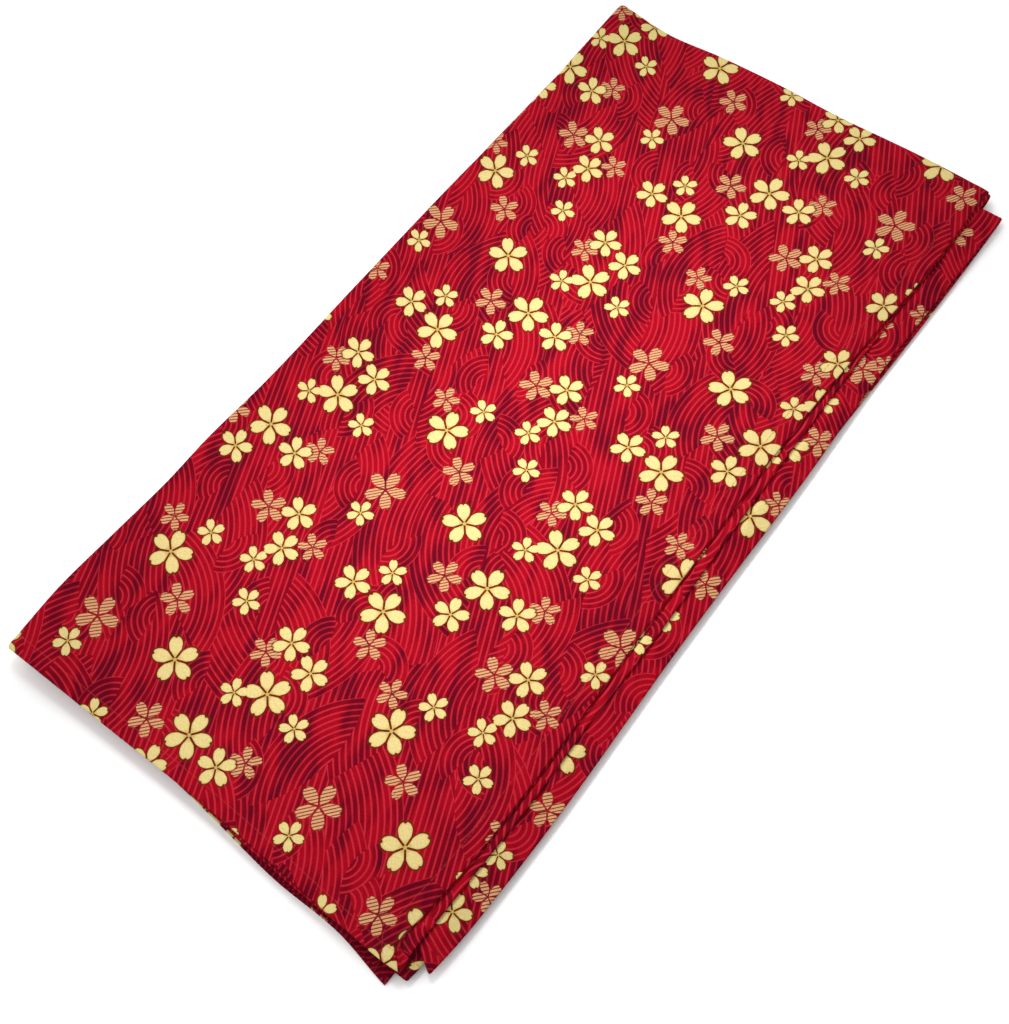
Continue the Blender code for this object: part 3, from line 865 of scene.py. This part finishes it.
stitch_group, stitch_in, stitch_out = new_group(
    "machine_stitches", [("Place", "NodeSocketVector")], [("Stitch", "NodeSocketFloat")])
run_x, run_y, _ = add(stitch_group, "ShaderNodeSeparateXYZ", stitch_in.outputs["Place"])
rows = []
for across_row, along_row, size in ((run_x, run_y, FLAT_SIZE[0]), (run_y, run_x, FLAT_SIZE[1])):
    edge = sums(stitch_group, "PINGPONG", across_row, size / 2)
    off_line = sums(stitch_group, "ABSOLUTE", sums(stitch_group, "SUBTRACT", edge, STITCH_FROM_EDGE))
    on_line = soft_step(stitch_group, off_line, *STITCH_HALF_WIDTH)
    pulse = sums(stitch_group, "PINGPONG", sums(stitch_group, "DIVIDE", along_row, STITCH_STEP), 0.5)
    rows.append(sums(stitch_group, "MULTIPLY", on_line, soft_step(stitch_group, pulse, 0.05, 0.12)))
stitch_group.links.new(sums(stitch_group, "MAXIMUM", *rows), stitch_out.inputs["Stitch"])


# The cotton. Matt, with hardly any sheen. The print is full on the face and shows through pale on
# the back. The weave's crossings carry painted light and shade, the slubs a random tone, and the stitches
# a lighter thread; all are a little raised as well.
STITCH_RED = (0.400, 0.030, 0.030, 1)
BACK_RED = (0.330, 0.060, 0.065, 1)
BACK_FADE = 0.55
STITCH_SHARE = 0.32
# The least and greatest factors of the weave's painted shade and tone
PAINTED_WEAVE_SHADE_AND_TONE = (0.74, 1.24)
COTTON_ROUGHNESS = 0.86
INK_ROUGHNESS = 0.74
COTTON_SHINE = 0.02
WEAVE_STRENGTH = 0.35
WEAVE_DEPTH = 0.00012
STITCH_RISE = 2.0


def cotton(name, fade):
    """Cotton from the print, weave and stitch groups. The print's colour is blended with the
    back's red by the fade, then with the thread's red on a stitch, and multiplied by the weave's
    painted shade: light and shade of the threads, with the slubs' random tone. The weave's height and
    the stitch times its rise make the bump."""
    material = bpy.data.materials.new(name)
    material.use_nodes = True
    tree = material.node_tree
    surface = tree.nodes["Principled BSDF"]
    on_cloth = add(tree, "ShaderNodeUVMap", uv_map="cloth")
    printed = placed(tree, print_group, add(tree, "ShaderNodeUVMap", uv_map="print"))
    woven = placed(tree, weave_group, on_cloth)["Height"]
    sewn = placed(tree, stitch_group, on_cloth)["Stitch"]

    colour = mix(tree, fade, printed["Color"], BACK_RED, "RGBA")
    colour = mix(tree, sums(tree, "MULTIPLY", sewn, STITCH_SHARE), colour, STITCH_RED, "RGBA")
    # Painted shade: the weave's crossings make the colour lighter and darker, as light and shade on the
    # threads would, and the slubs add a random tone
    painted_shade_and_tone = add(tree, "ShaderNodeMapRange", woven, 0.0, 1.0, *PAINTED_WEAVE_SHADE_AND_TONE)
    colour = mix(tree, 1.0, colour, painted_shade_and_tone, "RGBA", "MULTIPLY")
    tree.links.new(colour, surface.inputs["Base Color"])
    roughness = mix(tree, printed["Ink"], COTTON_ROUGHNESS, INK_ROUGHNESS)
    tree.links.new(roughness, surface.inputs["Roughness"])
    surface.inputs["Specular IOR Level"].default_value = COTTON_SHINE

    bump = tree.nodes.new("ShaderNodeBump")
    bump.inputs["Strength"].default_value = WEAVE_STRENGTH
    bump.inputs["Distance"].default_value = WEAVE_DEPTH
    tree.links.new(sums(tree, "MULTIPLY_ADD", sewn, STITCH_RISE, woven), bump.inputs["Height"])
    tree.links.new(bump.outputs["Normal"], surface.inputs["Normal"])
    return material


cloth_object = bpy.data.objects.new("furoshiki_cotton", cloth_mesh("furoshiki_cotton"))
bpy.context.scene.collection.objects.link(cloth_object)
cloth_object.data.materials.append(cotton("printed_cotton", 0.0))
cloth_object.data.materials.append(cotton("cotton_back", BACK_FADE))
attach(cloth_object, "root")
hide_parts("furoshiki_cloth")


# The floor: a plain, matt, near-white surface that reaches far past the picture's edges. It lies a
# little under the cloth, so the two never touch in the same plane.
FLOOR_HALF = 6.0
FLOOR_HEIGHT = -0.0002
FLOOR_WHITE = (0.96, 0.96, 0.96, 1)

floor_corners = [(x * FLOOR_HALF, y * FLOOR_HALF, FLOOR_HEIGHT)
                 for x, y in ((-1, -1), (1, -1), (1, 1), (-1, 1))]
floor_mesh = bpy.data.meshes.new("studio_floor")
floor_mesh.from_pydata(floor_corners, [], [(0, 1, 2, 3)])
floor_object = bpy.data.objects.new("studio_floor", floor_mesh)
bpy.context.scene.collection.objects.link(floor_object)
floor_material = bpy.data.materials.new("pale_floor")
floor_material.use_nodes = True
floor_surface = floor_material.node_tree.nodes["Principled BSDF"]
floor_surface.inputs["Base Color"].default_value = FLOOR_WHITE
floor_surface.inputs["Roughness"].default_value = 0.9
floor_surface.inputs["Specular IOR Level"].default_value = 0.1
floor_mesh.materials.append(floor_material)


# The light: a pale surround that is dimmer towards the horizon and brighter at the left, so the
# floor is in shade along the right edge. A soft box over the cloth has a narrow beam, so the
# cloth's edges are darker than its middle.
BRIGHT_SIDE = (-0.78, 0.10, 0.0)
HORIZON_STRENGTH = 0.50
OVERHEAD_STRENGTH = 1.12
OVERHEAD_FROM = 0.5
LAMP_FROM = (-0.120, 0.060, 0.460)
LAMP_TO = (0.003, -0.006, 0.010)
LAMP_SIZE = (0.12, 0.40)
LAMP_SPREAD = 50
LAMP_WATTS = 0.345

world = bpy.data.worlds.new("pale_surround")
world.use_nodes = True
sky = world.node_tree
sky_place = add(sky, "ShaderNodeTexCoord")[0]
sky_height = add(sky, "ShaderNodeSeparateXYZ", sky_place)[2]
overhead = add(sky, "ShaderNodeMapRange", sky_height, 0.0, OVERHEAD_FROM, HORIZON_STRENGTH,
               OVERHEAD_STRENGTH)
sideways = sums(sky, "ADD", vector(sky, "DOT_PRODUCT", sky_place, BRIGHT_SIDE), 1.0)
background = sky.nodes["Background"]
background.inputs["Color"].default_value = (1.0, 1.0, 1.0, 1)
sky.links.new(sums(sky, "MULTIPLY", overhead, sideways), background.inputs["Strength"])
bpy.context.scene.world = world

lamp = bpy.data.lights.new("long_soft_box", "AREA")
lamp.shape = "RECTANGLE"
lamp.size = LAMP_SIZE[0]
lamp.size_y = LAMP_SIZE[1]
lamp.spread = np.radians(LAMP_SPREAD)
lamp.energy = LAMP_WATTS
lamp_object = bpy.data.objects.new("long_soft_box", lamp)
beam = np.subtract(LAMP_TO, LAMP_FROM)
tilt = np.arcsin(beam[1] / np.linalg.norm(beam))
lamp_object.location = LAMP_FROM
lamp_object.rotation_euler = (tilt, -np.arctan2(beam[0], -beam[2]), 0)
lamp_object.visible_camera = False
bpy.context.scene.collection.objects.link(lamp_object)


# The camera: a lens of about 58 mm at the near right of the cloth, 0.81 m from it, looking down at
# 63 degrees, as fitted to the photo.
CAMERA_AIM = (0.1433 - MIDDLE[0], 0.1949 - MIDDLE[1], 0.011)
CAMERA_AZIMUTH = -36.77
CAMERA_ELEVATION = 62.79
CAMERA_DISTANCE = 0.8128
CAMERA_LENS = 58.55
SENSOR_WIDTH = 36.0

azimuth = np.radians(CAMERA_AZIMUTH)
elevation = np.radians(CAMERA_ELEVATION)
looking = np.array([np.sin(azimuth) * np.cos(elevation), np.cos(azimuth) * np.cos(elevation),
                    -np.sin(elevation)])
camera = bpy.data.cameras.new("photo_camera")
camera.lens = CAMERA_LENS
camera.sensor_width = SENSOR_WIDTH
camera_object = bpy.data.objects.new("photo_camera", camera)
camera_object.location = np.array(CAMERA_AIM) - looking * CAMERA_DISTANCE
camera_object.rotation_mode = "QUATERNION"
camera_object.rotation_quaternion = Vector(looking).to_track_quat("-Z", "Y")
bpy.context.scene.collection.objects.link(camera_object)
bpy.context.scene.camera = camera_object
bpy.context.scene.view_settings.view_transform = "Standard"
